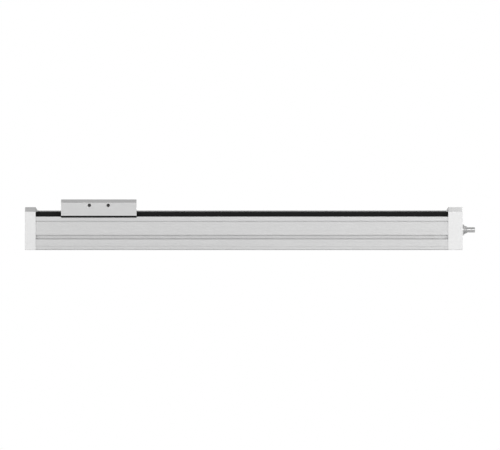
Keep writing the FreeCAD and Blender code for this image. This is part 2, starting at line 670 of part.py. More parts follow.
def ball_screw():
    """Screw between its two shoulders, with a journal at each end and the drive shaft beyond the lock nut."""
    idle_tip = IDLE_BEARING_END - CIRCLIP_THICKNESS - JOURNAL_TAIL
    shaft_tip = DRIVE_END + SHAFT_LENGTH
    screw = rod_x((IDLE_SHOULDER, SCREW_SHOULDER), SCREW_RADIUS)
    screw = screw.fuse(rod_x((idle_tip, IDLE_SHOULDER), JOURNAL_RADIUS))
    screw = screw.fuse(rod_x((SCREW_SHOULDER, LOCK_NUT_END), JOURNAL_RADIUS))
    collar_end = LOCK_NUT_END + COLLAR_LENGTH
    screw = screw.fuse(rod_x((LOCK_NUT_END, collar_end), SHAFT_RADIUS + COLLAR_SEAT_RISE))
    shaft = rod_x((collar_end, shaft_tip), SHAFT_RADIUS)
    tip = [edge for edge in shaft.Edges if abs(edge.CenterOfMass.x - shaft_tip) < SEAT_FIT and edge.Closed]
    screw = screw.fuse(shaft.makeChamfer(SHAFT_CHAMFER, tip))
    groove = ring_x(circlip_x(), JOURNAL_RADIUS - CIRCLIP_SINK, JOURNAL_RADIUS)
    return screw.cut(groove)


def circlip_x():
    return IDLE_BEARING_END - CIRCLIP_THICKNESS, IDLE_BEARING_END


def idle_circlip():
    """Open ring in the groove behind the floating bearing."""
    ring = ring_x(circlip_x(), JOURNAL_RADIUS - CIRCLIP_SINK + SEAT_FIT, JOURNAL_RADIUS + CIRCLIP_RISE)
    across = (-JOURNAL_RADIUS / 2, JOURNAL_RADIUS / 2)
    return ring.cut(box(circlip_x(), across, (SCREW_Z, SCREW_Z + 2 * JOURNAL_RADIUS)))


def ring_thickness(radius):
    """Thickness of a bearing's ring between its bore and its outside."""
    return RING_THICKNESS_SHARE * (radius - JOURNAL_RADIUS)


def outer_ring(x, radius):
    return ring_x(x, radius - ring_thickness(radius), radius)


def inner_ring(x, radius):
    return ring_x(x, JOURNAL_RADIUS + SEAT_FIT, JOURNAL_RADIUS + ring_thickness(radius))


def bearing_cage(x, radius):
    """Cage and balls as one ring between the two races."""
    inner = JOURNAL_RADIUS + ring_thickness(radius) + CAGE_GAP
    outer = radius - ring_thickness(radius) - CAGE_GAP
    return ring_x((x[0] + CAGE_INSET, x[1] - CAGE_INSET), inner, outer)


def drive_bearing_spans():
    starts = [SCREW_SHOULDER + DRIVE_BEARING_LENGTH * step for step in range(DRIVE_BEARING_COUNT)]
    return [(start, start + DRIVE_BEARING_LENGTH) for start in starts]


def drive_rings(make):
    return [make(span, DRIVE_BEARING_RADIUS) for span in drive_bearing_spans()]


def bearing_clamp_ring():
    """Threaded ring that holds the bearing pair in the drive cap, with four spanner slots."""
    x = (DRIVE_FACE, SCREW_SHOULDER)
    ring = ring_x(x, CLAMP_RING_BORE, CLAMP_RING_RADIUS)
    depth = CLAMP_RING_LENGTH / 2
    across = (SCREW_Z - CLAMP_RING_RADIUS, SCREW_Z + CLAMP_RING_RADIUS)
    slot = box((DRIVE_FACE, DRIVE_FACE + depth), (-depth, depth), across)
    turned = slot.copy()
    turned.rotate(FreeCAD.Vector(0, 0, SCREW_Z), X_AXIS, 90)
    return ring.cut(slot.fuse(turned))


def drive_shaft_seal():
    x = (BEARING_STACK_END, BEARING_STACK_END + SEAL_LENGTH)
    return ring_x(x, LOCK_NUT_RADIUS + RUN_FIT, SEAL_RADIUS)


def lock_nut():
    return ring_x((BEARING_STACK_END, LOCK_NUT_END), JOURNAL_RADIUS + SEAT_FIT, LOCK_NUT_RADIUS)


def shaft_collar():
    """Conical collar on the drive shaft, against the lock nut."""
    bore = SHAFT_RADIUS + COLLAR_SEAT_RISE + SEAT_FIT
    start = FreeCAD.Vector(LOCK_NUT_END, 0, SCREW_Z)
    cone = Part.makeCone(COLLAR_RADIUS, bore + COLLAR_LIP, COLLAR_LENGTH, start, X_AXIS)
    return cone.cut(rod_x((LOCK_NUT_END, LOCK_NUT_END + COLLAR_LENGTH), bore))


def idle_cap_plug():
    return rod_x((IDLE_END, IDLE_FACE - IDLE_BORE_DEPTH), PLUG_RADIUS)


def buffers(face, inward, reach):
    """Two rubber buffers on the inner face of a cap."""
    z = PROFILE_HEIGHT - BUFFER_BELOW_TOP
    places = [FreeCAD.Vector(face, side * BUFFER_Y, z) for side in (-1, 1)]
    return [Part.makeCylinder(BUFFER_RADIUS, reach, place, inward) for place in places]


# Every piece by its name

def pieces():
    idle_out = X_AXIS * -1
    idle_stop = SADDLE_X[0] - IDLE_TRAVEL - IDLE_FACE - STOP_GAP
    drive_stop = DRIVE_FACE - SADDLE_X[1] - DRIVE_TRAVEL - STOP_GAP
    idle_span = (IDLE_BEARING_END, IDLE_SHOULDER)
    made = {
        "base_profile": base_profile(),
        "idle_end_cap": idle_end_cap(),
        "drive_end_cap": drive_end_cap(),
        "idle_cap_screws": cap_screws(IDLE_END, idle_out),
        "drive_cap_screws": cap_screws(DRIVE_END, X_AXIS),
        "cover_profile": cover_profile(),
        "idle_cover_clamp": cover_clamp(IDLE_FACE, X_AXIS),
        "drive_cover_clamp": cover_clamp(DRIVE_FACE, idle_out),
        "front_seal_strip": mirror_y(seal_strip()),
        "rear_seal_strip": seal_strip(),
        "front_rail": rail(-1),
        "rear_rail": rail(1),
        "idle_buffers": buffers(IDLE_FACE, X_AXIS, idle_stop),
        "drive_buffers": buffers(DRIVE_FACE, idle_out, drive_stop),
        "drive_bearing_outer_rings": drive_rings(outer_ring),
        "drive_bearing_inner_rings": drive_rings(inner_ring),
        "drive_bearing_cages": drive_rings(bearing_cage),
        "bearing_clamp_ring": bearing_clamp_ring(),
        "drive_shaft_seal": drive_shaft_seal(),
        "idle_bearing_outer_ring": outer_ring(idle_span, IDLE_BEARING_RADIUS),
        "idle_bearing_inner_ring": inner_ring(idle_span, IDLE_BEARING_RADIUS),
        "idle_bearing_cage": bearing_cage(idle_span, IDLE_BEARING_RADIUS),
        "idle_circlip": idle_circlip(),
        "idle_cap_plug": idle_cap_plug(),
        "ball_screw": ball_screw(),
        "lock_nut": lock_nut(),
        "shaft_collar": shaft_collar(),
        "carriage_saddle": carriage_saddle(),
        "carriage_table": carriage_table(),
        "front_table_lip": mirror_y(table_lip()),
        "rear_table_lip": table_lip(),
        "table_screws": table_screws(),
        "cover_wiper_idle": cover_wiper(-1),
        "cover_wiper_drive": cover_wiper(1),
        "runner_screws": runner_screws(),
        "ball_nut": ball_nut(),
        "nut_wipers": nut_wipers(),
        "nut_screws": nut_screws(),
    }
    for number, (x, side) in enumerate(runner_places(), start=1):
        made[f"runner_block_{number}"] = runner_block(x, side)
        made[f"runner_end_caps_{number}"] = runner_end_caps(x, side)
    return made


os.makedirs("parts", exist_ok=True)
for name, shape in pieces().items():
    if isinstance(shape, list):
        shape = Part.makeCompound(shape)
    shape.exportStep(f"parts/{name}.step")
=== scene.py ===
import json
import math

import bmesh
import bpy
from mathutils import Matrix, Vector


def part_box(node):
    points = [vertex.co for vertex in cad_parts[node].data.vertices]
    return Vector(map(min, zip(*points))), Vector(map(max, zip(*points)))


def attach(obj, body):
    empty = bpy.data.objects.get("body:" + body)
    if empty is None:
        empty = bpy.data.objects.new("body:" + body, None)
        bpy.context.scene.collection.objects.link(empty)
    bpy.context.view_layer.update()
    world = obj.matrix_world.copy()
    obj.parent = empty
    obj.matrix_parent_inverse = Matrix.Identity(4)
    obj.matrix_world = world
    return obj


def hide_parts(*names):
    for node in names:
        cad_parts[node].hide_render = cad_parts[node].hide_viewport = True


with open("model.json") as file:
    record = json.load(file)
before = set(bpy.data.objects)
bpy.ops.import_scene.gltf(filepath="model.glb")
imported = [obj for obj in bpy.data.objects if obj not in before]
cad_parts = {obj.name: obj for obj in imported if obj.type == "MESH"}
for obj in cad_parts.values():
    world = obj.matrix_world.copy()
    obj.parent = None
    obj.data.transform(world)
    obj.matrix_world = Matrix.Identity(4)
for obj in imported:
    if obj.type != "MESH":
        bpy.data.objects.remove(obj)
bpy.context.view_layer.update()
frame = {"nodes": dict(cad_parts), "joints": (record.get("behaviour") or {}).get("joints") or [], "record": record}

MM = 0.001
X_AXIS = Vector((1.0, 0.0, 0.0))

# The photograph: its size in pixels, and where it has the profile's ends and underside
PHOTO_WIDTH = 500
PHOTO_HEIGHT = 450
PROFILE_LEFT_PX = 35.6
PROFILE_RIGHT_PX = 448.3
UNDERSIDE_PX = 250.0

# Camera: its distance from the object's middle plane, and its turn up from looking straight down
CAMERA_DISTANCE = 3.0
LEVEL_TURN = math.radians(90.0)

# Floor, and the points in or near the object that the lamps aim at
FLOOR_SIZE = 12.0
FLOOR_GREY = 0.8
FLOOR_ROUGHNESS = 0.9
AXIS_MIDDLE = (0.0, 0.0, 0.05)
SHAFT_PLACE = (0.43, 0.0, 0.04)
DRIVE_CAP_TOP = (0.42, 0.0, 0.08)

# World brightness: white up to a low height in the sky, then falling towards overhead
SKY_FALL_START = 0.1
SKY_FALL_END = 0.8
SKY_OVERHEAD = 0.5

# Materials: the stretch of a noise over which shades change, the specular level of most surfaces,
# how metallic bare aluminium is, and how far the shades of plastic and steel spread
TONE_START = 0.3
TONE_END = 0.7
USUAL_SPECULAR = 0.5
BARE_METALLIC = 0.75
PLASTIC_SPREAD = 0.02
STEEL_SPREAD = 0.08

# Bevels of the end caps, painted as darker bare metal for the shade they show: least slope of their normals, and
# the grey of that metal
BEVEL_NORMAL = 0.6
BARE_METAL_SHADE_GREY = 0.69

# Joining of mesh points, the most that a side's normal leans along the axis,
# the least angle of an edge that stays sharp, and the one that keeps all edges sharp
WELD = 0.001 * MM
SIDE_NORMAL = 0.5
SHARP_ANGLE = math.radians(35.0)
ALL_SHARP = 0.0

# Section of the profile: its slots, how far the lips of the side slots slope, and the rounds
# of its edges, which take up no more than a share of the edges beside them
SIDE_SLOT_Z = 24.0 * MM
BOTTOM_SLOT_Y = 20.0 * MM
SLOT_WIDTH = 8.0 * MM
SLOT_LIP = 2.0 * MM
LOWER_LIP_SLOPE = 1.2 * MM
UPPER_LIP_SLOPE = 0.3 * MM
SLOT_ROUND = 0.25 * MM
EDGE_ROUND = 0.3 * MM
EDGE_SHARE = 0.45
ROUND_STEPS = 3

# Socket screws: shares of a screw's size, and for each CAD node its body and where its heads point
HEAD_SHARE = 0.75
HEAD_EXTRA = 0.5 * MM
CORE_SHARE = 0.42
SCREW_EDGE_SHARE = 0.1
SOCKET_SIDES = 6
SOCKET_CORNER_SHARE = 0.46
SOCKET_FLOOR_SHARE = 0.45
KNURL_DEPTH = 0.14 * MM
SCREW_STEPS = 72
SCREW_NODES = (
    ("idle_cap_screws", "base", (-1.0, 0.0, 0.0)),
    ("drive_cap_screws", "base", (1.0, 0.0, 0.0)),
    ("table_screws", "carriage", (0.0, 0.0, 1.0)),
    ("runner_screws", "carriage", (0.0, 0.0, 1.0)),
    ("nut_screws", "carriage", (1.0, 0.0, 0.0)),
)

# Tapped holes: their threads, whose pitch is a share of a hole's radius, the height of the drill's
# cone at the bottom and what is left under its point, and the depth of each bolt pattern's holes
THREAD_MOUTH = 0.8 * MM
THREAD_HEIGHT = 0.45 * MM
THREAD_FILL = 0.42
PITCH_SHARE = 0.39
DRILL_POINT = 1.6 * MM
DRILL_FLOOR = 0.1 * MM
HOLE_DEPTHS = {
    "table_top_holes": 14.0 * MM,
    "table_front_holes": 16.0 * MM,
    "motor_flange_holes": 12.0 * MM,
}
HOLE_STEPS = 24

# Ball screw: its thread, which fades out before a plain stretch at each end, and the ends' radii
LEAD = 10.0 * MM
GROOVE_HALF_WIDTH = 1.9 * MM
GROOVE_DEPTH = 1.3 * MM
GROOVE_STEPS = 6
RUNOUT = 14.0 * MM
FADE = 6.0 * MM
JOURNAL_RADIUS = 6.0 * MM
CIRCLIP_GROOVE_RADIUS = 5.4 * MM
SHAFT_RADIUS = 5.0 * MM
COLLAR_SEAT_RADIUS = 5.5 * MM
SHAFT_CHAMFER = 0.8 * MM
TURN_STEPS = 48

# Lock nut and plug
NUT_CLEARANCE = 0.02 * MM
NUT_BORE = JOURNAL_RADIUS + NUT_CLEARANCE
NUT_EDGE = 0.4 * MM
NUT_NOTCHES = 4
NUT_NOTCH_DEPTH = 1.4 * MM
NUT_NOTCH_STEPS = 2
NUT_STEPS = 96
PLUG_RIM = 1.6 * MM
PLUG_DISH = 0.8 * MM
PLUG_EDGE = 0.4 * MM


# Materials

def grey(level):
    """A colour with equal red, green and blue."""
    return (level, level, level)


def new_material(name, metallic):
    """A material of one principled shader, and that shader."""
    material = bpy.data.materials.new(name)
    material.use_nodes = True
    shader = material.node_tree.nodes["Principled BSDF"]
    shader.inputs["Metallic"].default_value = metallic
    return material, shader


def noise(tree, waves, detail):
    """Noise in the object's own coordinates, with one scale for each axis, in waves per metre."""
    place = tree.nodes.new("ShaderNodeTexCoord")
    mapping = tree.nodes.new("ShaderNodeMapping")
    mapping.inputs["Scale"].default_value = waves
    texture = tree.nodes.new("ShaderNodeTexNoise")
    texture.inputs["Scale"].default_value = 1.0
    texture.inputs["Detail"].default_value = detail
    tree.links.new(place.outputs["Object"], mapping.inputs["Vector"])
    tree.links.new(mapping.outputs["Vector"], texture.inputs["Vector"])
    return texture.outputs["Fac"]


def tone(tree, shader, factor, dark, light):
    """Colour between two shades of grey or tint, by a factor."""
    ramp = tree.nodes.new("ShaderNodeValToRGB")
    first, second = ramp.color_ramp.elements
    first.position = TONE_START
    second.position = TONE_END
    first.color = (*dark, 1.0)
    second.color = (*light, 1.0)
    tree.links.new(factor, ramp.inputs["Fac"])
    tree.links.new(ramp.outputs["Color"], shader.inputs["Base Color"])


def gloss(tree, shader, factor, low, high):
    """Roughness between two values, by a factor."""
    spread = tree.nodes.new("ShaderNodeMapRange")
    spread.inputs["To Min"].default_value = low
    spread.inputs["To Max"].default_value = high
    tree.links.new(factor, spread.inputs["Value"])
    tree.links.new(spread.outputs["Result"], shader.inputs["Roughness"])


def bump(tree, shader, factor, strength, depth):
    """Small relief, its depth in metres."""
    relief = tree.nodes.new("ShaderNodeBump")
    relief.inputs["Strength"].default_value = strength
    relief.inputs["Distance"].default_value = depth
    tree.links.new(factor, relief.inputs["Height"])
    tree.links.new(relief.outputs["Normal"], shader.inputs["Normal"])


def grained(name, shades, metallic, roughness, waves, detail, relief, depth, specular=USUAL_SPECULAR):
    """A material whose shade, roughness and relief all follow one noise."""
    material, shader = new_material(name, metallic)
    shader.inputs["Specular IOR Level"].default_value = specular
    tree = material.node_tree
    grain = noise(tree, waves, detail)
    tone(tree, shader, grain, *shades)
    gloss(tree, shader, grain, *roughness)
    bump(tree, shader, grain, relief, depth)
    return material


def extruded_aluminium():
    """Clear anodised extrusion: faint die lines along its length."""
    return grained(
        "extruded_aluminium",
        shades=(grey(0.64), grey(0.68)),
        metallic=BARE_METALLIC,
        roughness=(0.38, 0.48),
        waves=(2.0, 1400.0, 1400.0),
        detail=3.0,
        relief=0.25,
        depth=0.05 * MM,
    )


def milled_aluminium():
    """Milled and anodised plate: a finer grain along its length."""
    return grained(
        "milled_aluminium",
        shades=(grey(0.63), grey(0.67)),
        metallic=BARE_METALLIC,
        roughness=(0.36, 0.48),
        waves=(60.0, 2600.0, 2600.0),
        detail=4.0,
        relief=0.2,
        depth=0.03 * MM,
    )


def bevel_shade_mask(tree):
    """1 on the long bevels, which slope up towards the front and the rear and get the painted shade, and 0
    elsewhere.
    """
    place = tree.nodes.new("ShaderNodeTexCoord")
    split = tree.nodes.new("ShaderNodeSeparateXYZ")
    sideways = tree.nodes.new("ShaderNodeMath")
    sideways.operation = "ABSOLUTE"
    slope = tree.nodes.new("ShaderNodeMath")
    slope.operation = "MINIMUM"
    mask = tree.nodes.new("ShaderNodeMath")
    mask.operation = "GREATER_THAN"
    mask.inputs[1].default_value = BEVEL_NORMAL
    tree.links.new(place.outputs["Normal"], split.inputs["Vector"])
    tree.links.new(split.outputs["Y"], sideways.inputs[0])
    tree.links.new(sideways.outputs["Value"], slope.inputs[0])
    tree.links.new(split.outputs["Z"], slope.inputs[1])
    tree.links.new(slope.outputs["Value"], mask.inputs[0])
    return mask.outputs["Value"]


def bare_bevels_with_shade(material):
    """Show darker bare metal instead of a material's own colour along the long bevels, as painted shade on these
    faces that slope up.
    """
    tree = material.node_tree
    shader = tree.nodes["Principled BSDF"]
    bare_and_shade = bevel_shade_mask(tree)
    coat_colour = shader.inputs["Base Color"].links[0].from_socket
    blend = tree.nodes.new("ShaderNodeMix")
    blend.data_type = "RGBA"
    tree.links.new(bare_and_shade, blend.inputs["Factor"])
    tree.links.new(coat_colour, blend.inputs["A"])
    # Painted shade: the darker grey of bare metal on the bevels that slope up
    blend.inputs["B"].default_value = (*grey(BARE_METAL_SHADE_GREY), 1.0)
    tree.links.new(blend.outputs["Result"], shader.inputs["Base Color"])
    shine = tree.nodes.new("ShaderNodeMapRange")
    shine.inputs["To Max"].default_value = BARE_METALLIC
    tree.links.new(bare_and_shade, shine.inputs["Value"])
    tree.links.new(shine.outputs["Result"], shader.inputs["Metallic"])


def powder_coat():
    """White powder coat with its fine orange peel, and darker bare metal along the bevels as painted shade."""
    material = grained(
        "powder_coat",
        shades=(grey(0.82), grey(0.86)),
        metallic=0.0,
        roughness=(0.4, 0.52),
        waves=(900.0, 900.0, 900.0),
        detail=2.0,
        relief=0.3,
        depth=0.08 * MM,
    )
    bare_bevels_with_shade(material)
    return material


def moulded_plastic(name, level):
    """Moulded pale plastic, a little rough."""
    return grained(
        name,
        shades=(grey(level - PLASTIC_SPREAD), grey(level + PLASTIC_SPREAD)),
        metallic=0.0,
        roughness=(0.44, 0.58),
        waves=(1600.0, 1600.0, 1600.0),
        detail=2.0,
        relief=0.25,
        depth=0.05 * MM,
    )


def black_cover():
    """Black satin extrusion with lines along its length."""
    return grained(
        "black_cover",
        shades=(grey(0.004), grey(0.008)),
        metallic=0.0,
        roughness=(0.4, 0.55),
        waves=(2.0, 1100.0, 1100.0),
        detail=3.0,
        relief=0.2,
        depth=0.04 * MM,
        specular=0.15,
    )


def black_rubber():
    """Matt moulded rubber."""
    return grained(
        "black_rubber",
        shades=(grey(0.008), grey(0.016)),
        metallic=0.0,
        roughness=(0.7, 0.9),
        waves=(1800.0, 1800.0, 1800.0),
        detail=3.0,
        relief=0.4,
        depth=0.06 * MM,
        specular=0.2,
    )


def turned_steel(name, level, roughness):
    """Steel with turning marks round the screw axis."""
    return grained(
        name,
        shades=(grey(level * (1.0 - STEEL_SPREAD)), grey(level * (1.0 + STEEL_SPREAD))),
        metallic=1.0,
        roughness=roughness,
        waves=(3000.0, 20.0, 20.0),
        detail=3.0,
        relief=0.2,
        depth=0.03 * MM,
    )


def black_oxide():
    """Blackened steel fasteners, a little worn."""
    return grained(
        "black_oxide",
        shades=(grey(0.02), grey(0.06)),
        metallic=0.7,
        roughness=(0.32, 0.5),
        waves=(700.0, 700.0, 700.0),
        detail=4.0,
        relief=0.2,
        depth=0.04 * MM,
    )


def dark_plastic():
    """Dark moulded plastic."""
    return grained(
        "dark_plastic",
        shades=(grey(0.04), grey(0.06)),
        metallic=0.0,
        roughness=(0.42, 0.58),
        waves=(1500.0, 1500.0, 1500.0),
        detail=2.0,
        relief=0.3,
        depth=0.05 * MM,
    )


def turned_brass():
    """Turned brass bearing cages."""
    return grained(
        "turned_brass",
        shades=((0.62, 0.44, 0.17), (0.74, 0.54, 0.24)),
        metallic=1.0,
        roughness=(0.24, 0.4),
        waves=(2600.0, 30.0, 30.0),
        detail=3.0,
        relief=0.2,
        depth=0.03 * MM,
    )


def finish_of(node, finishes):
    """The finish that a CAD node gets, by what it is."""
    if node == "base_profile":
        return finishes["extruded"]
    if node in ("carriage_table", "carriage_saddle"):
        return finishes["milled"]
    if node.endswith("end_cap"):
        return finishes["coat"]
    if node.endswith("cover_clamp"):
        return finishes["hood"]
    if node == "idle_cap_plug":
        return finishes["white"]
    if node == "shaft_collar":
        return finishes["collar"]
    if node == "cover_profile":
        return finishes["cover"]
    # Black rubber on the table lips is partly their own colour and partly painted shade for the dark gap under the
    # table
    if "seal" in node or node.endswith(("buffers", "table_lip")) or "cover_wiper" in node:
        return finishes["rubber"]
    if node.startswith("runner_end_caps") or node == "nut_wipers":
        return finishes["plastic"]
    if "cage" in node:
        return finishes["brass"]
    if node.endswith("screws") or node in ("idle_circlip", "bearing_clamp_ring"):
        return finishes["oxide"]
    return finishes["steel"]


def dress_nodes():
    """Give every CAD node its finish, and return the finishes by name."""
    finishes = {
        "extruded": extruded_aluminium(),
        "milled": milled_aluminium(),
        "coat": powder_coat(),
        "white": moulded_plastic("white_plastic", level=0.8),
        "hood": moulded_plastic("grey_plastic", level=0.55),
        "cover": black_cover(),
        "rubber": black_rubber(),
        "steel": turned_steel("ground_steel", level=0.62, roughness=(0.12, 0.24)),
        "collar": turned_steel("collar_steel", level=0.42, roughness=(0.4, 0.55)),
        "oxide": black_oxide(),
        "plastic": dark_plastic(),
        "brass": turned_brass(),
    }
    for name, node in frame["nodes"].items():
        node.data.materials.clear()
        node.data.materials.append(finish_of(name, finishes))
    return finishes


# Mesh helpers

def welded(node):
    """A copy of a CAD node's mesh with its split points joined."""
    mesh = bmesh.new()
    mesh.from_mesh(frame["nodes"][node].data)
    bmesh.ops.remove_doubles(mesh, verts=mesh.verts, dist=WELD)
    return mesh


def around(x, reach, angle):
    """A point at a distance from the X axis, turned round it by an angle."""
    return (x, reach * math.cos(angle), reach * math.sin(angle))


def add_lathe(mesh, outline):
    """A surface round the X axis from rings, each an x and its radii all the way round."""
    rings = []
    for x, radii in outline:
        ring = []
        for step, radius in enumerate(radii):
            ring.append(mesh.verts.new(around(x, radius, 2.0 * math.pi * step / len(radii))))
        rings.append(ring)
    for low, high in zip(rings, rings[1:]):
        for step in range(len(low)):
            following = (step + 1) % len(low)
            mesh.faces.new((low[step], high[step], high[following], low[following]))


def clean(mesh):
    """Join points that meet, drop faces without area, and turn all faces outwards."""
    bmesh.ops.remove_doubles(mesh, verts=mesh.verts, dist=WELD)
    bmesh.ops.dissolve_degenerate(mesh, edges=mesh.edges, dist=WELD)
    bmesh.ops.recalc_face_normals(mesh, faces=mesh.faces)


def lathe(outline):
    """A clean mesh of its own from rings round the X axis."""
    mesh = bmesh.new()
    add_lathe(mesh, outline)
    clean(mesh)
    return mesh


def stand(mesh, place, axis):
    """Turn a mesh made along X to an axis, and move its origin to a place."""
    turn = X_AXIS.rotation_difference(axis).to_matrix()
    for vert in mesh.verts:
        vert.co = turn @ vert.co + place


def screw_axis_height():
    """Height of the axis that the screw spins round."""
    for joint in frame["joints"]:
        if joint["name"] == "screw_spin":
            return joint["pos_m"][2]


def stand_on_screw_axis(mesh, x=0.0, axis=X_AXIS):
    """Turn a mesh made along X to an axis, and move its origin to an x on the screw's axis."""
    stand(mesh, Vector((x, 0.0, screw_axis_height())), axis)


def append(mesh, part):
    """Put a finished part into a larger mesh."""
    data = bpy.data.meshes.new("part")
    part.to_mesh(data)
    part.free()
    mesh.from_mesh(data)
    bpy.data.meshes.remove(data)


def add_piece(name, mesh, finish, body, sharp=SHARP_ANGLE):
    """Make an object of a finished mesh, riding on a body."""
    for face in mesh.faces:
        face.smooth = True
    data = bpy.data.meshes.new(name)
    mesh.to_mesh(data)
    mesh.free()
    data.set_sharp_from_angle(angle=sharp)
    data.materials.append(finish)
    piece = bpy.data.objects.new(name, data)
    bpy.context.collection.objects.link(piece)
    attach(piece, body)
    return piece


# Profile with its rounded edges and sloped lips

def section_outline(node):
    """(y, z) points round the outside of a CAD node's end face at its highest x."""
    mesh = welded(node)
    end = max(vert.co.x for vert in mesh.verts)
    neighbours = {}
    for edge in mesh.edges:
        on_end = all(end - vert.co.x < WELD for vert in edge.verts)
        on_side = any(abs(face.normal.x) < SIDE_NORMAL for face in edge.link_faces)
        if on_end and on_side:
            first, second = edge.verts
            neighbours.setdefault(first, []).append(second)
            neighbours.setdefault(second, []).append(first)
    start = min(neighbours, key=lambda vert: (vert.co.z, vert.co.y))
    loop = [start]
    previous, here = start, neighbours[start][0]
    while here is not start:
        loop.append(here)
        previous, here = here, next(vert for vert in neighbours[here] if vert is not previous)
    points = [Vector((vert.co.y, vert.co.z)) for vert in loop]
    mesh.free()
    return points


def at_slot_mouth(corner, half_width):
    """Whether a corner of the section is an outer edge of a slot."""
    y, z = abs(corner.x), corner.y
    at_side = half_width - y < WELD and abs(abs(z - SIDE_SLOT_Z) - SLOT_WIDTH / 2.0) < WELD
    at_bottom = z < WELD and abs(abs(y - BOTTOM_SLOT_Y) - SLOT_WIDTH / 2.0) < WELD
    return at_side or at_bottom


def sloped_lips(points):
    """The outline with lips that slope inwards from the mouths of the side slots."""
    lip_y = max(point.x for point in points) - SLOT_LIP
    for point in points:
        rise = point.y - SIDE_SLOT_Z
        if abs(abs(point.x) - lip_y) > WELD or abs(abs(rise) - SLOT_WIDTH / 2.0) > WELD:
            continue
        point.y += LOWER_LIP_SLOPE if rise < 0.0 else -UPPER_LIP_SLOPE
    return points


def rounded(points):
    """The outline with every corner rounded, those of the slots' mouths a little less."""
    half_width = max(point.x for point in points)
    outline = []
    for number, corner in enumerate(points):
        back = points[number - 1] - corner
        ahead = points[(number + 1) % len(points)] - corner
        size = SLOT_ROUND if at_slot_mouth(corner, half_width) else EDGE_ROUND
        reach = min(size, EDGE_SHARE * back.length, EDGE_SHARE * ahead.length)
        start = corner + back.normalized() * reach
        end = corner + ahead.normalized() * reach
        for step in range(ROUND_STEPS + 1):
            share = step / ROUND_STEPS
            outline.append(start.lerp(corner, share).lerp(corner.lerp(end, share), share))
    return outline


def extruded_profile(finish):
    """The profile drawn out from its CAD section, with rounded edges and sloped lips."""
    low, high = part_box("base_profile")
    outline = rounded(sloped_lips(section_outline("base_profile")))
    mesh = bmesh.new()
    ends = []
    for x in (low.x, high.x):
        ends.append([mesh.verts.new((x, point.x, point.y)) for point in outline])
    for number in range(len(outline)):
        following = (number + 1) % len(outline)
        corners = (ends[0][number], ends[0][following], ends[1][following], ends[1][number])
        mesh.faces.new(corners)
    for end in ends:
        mesh.faces.new(end)
    bmesh.ops.recalc_face_normals(mesh, faces=mesh.faces)
    piece = add_piece("extruded_profile", mesh, finish, "base", sharp=ALL_SHARP)
    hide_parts("base_profile")


# Socket screws

def solid_boxes(node):
    """Lowest and highest corner of each separate solid of a CAD node."""
    mesh = welded(node)
    seen = set()
    boxes = []
    for first in mesh.verts:
        if first in seen:
            continue
        seen.add(first)
        waiting = [first]
        points = []
        while waiting:
            vert = waiting.pop()
            points.append(vert.co.copy())
            for edge in vert.link_edges:
                other = edge.other_vert(vert)
                if other not in seen:
                    seen.add(other)
                    waiting.append(other)
        low = Vector([min(point[axis] for point in points) for axis in range(3)])
        high = Vector([max(point[axis] for point in points) for axis in range(3)])
        boxes.append((low, high))
    mesh.free()
    return boxes


def plain(radius, steps=SCREW_STEPS):
    """Radii of a circle."""
    return [radius] * steps


def knurled(radius):
    """Radii of a circle with fine teeth."""
    return [radius - KNURL_DEPTH * (step % 2) for step in range(SCREW_STEPS)]


def hexagon(corner):
    """Radii of a hexagon with a corner at the first step."""
    half_side = math.pi / SOCKET_SIDES
    radii = []
    for step in range(SCREW_STEPS):
        from_flat = (2.0 * math.pi * step / SCREW_STEPS) % (2.0 * half_side) - half_side
        radii.append(corner * math.cos(half_side) / math.cos(from_flat))
    return radii


def socket_screw(size, length):
    """A screw along X from its seat: shank, knurled head with a bevelled rim, hexagon socket."""
    core = CORE_SHARE * size
    head = HEAD_SHARE * size + HEAD_EXTRA
    corner = SOCKET_CORNER_SHARE * size
    edge = SCREW_EDGE_SHARE * size
    floor = SOCKET_FLOOR_SHARE * size
    return lathe([
        (-length, plain(0.0)),
        (-length, plain(core - edge)),
        (edge - length, plain(core)),
        (0.0, plain(core)),
        (0.0, plain(head - edge)),
        (edge, knurled(head)),
        (size - edge, knurled(head)),
        (size, plain(head - edge)),
        (size, plain(corner + edge)),
        (size - edge, hexagon(corner)),
        (floor, hexagon(corner)),
        (floor - edge, plain(0.0)),
    ])


def screw_set(node, body, axis, finish):
    """Detailed screws in place of a CAD node of screws whose heads point along an axis."""
    along = max(range(3), key=lambda number: abs(axis[number]))
    across = (along + 1) % 3
    mesh = bmesh.new()
    for low, high in solid_boxes(node):
        size = ((high[across] - low[across]) / 2.0 - HEAD_EXTRA) / HEAD_SHARE
        length = high[along] - low[along] - size
        seat = (low + high) / 2.0
        seat += axis * ((high[along] - low[along]) / 2.0 - size)
        screw = socket_screw(size, length)
        stand(screw, seat, axis)
        append(mesh, screw)
    piece = add_piece("socket_" + node, mesh, finish, body)
    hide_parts(node)


# Lock nut and plug

def notched(radius):
    """Radii of a ring with spanner notches."""
    radii = plain(radius, NUT_STEPS)
    for notch in range(NUT_NOTCHES):
        middle = (2 * notch + 1) * NUT_STEPS // (2 * NUT_NOTCHES)
        for step in range(middle - NUT_NOTCH_STEPS, middle + NUT_NOTCH_STEPS + 1):
            radii[step] = radius - NUT_NOTCH_DEPTH
    return radii


def notched_lock_nut(finish):
    """Lock nut with a bevelled edge, and spanner notches in the part that stands proud of the cap."""
    low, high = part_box("lock_nut")
    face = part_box("drive_end_cap")[1].x
    radius = (high.z - low.z) / 2.0
    bore = plain(NUT_BORE, NUT_STEPS)
    mesh = lathe([
        (low.x, bore),
        (low.x, plain(radius, NUT_STEPS)),
        (face, plain(radius, NUT_STEPS)),
        (face, notched(radius)),
        (high.x - NUT_EDGE, notched(radius)),
        (high.x, notched(radius - NUT_EDGE)),
        (high.x, bore),
        (low.x, bore),
    ])
    stand_on_screw_axis(mesh)
    piece = add_piece("notched_lock_nut", mesh, finish, "screw")
    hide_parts("lock_nut")


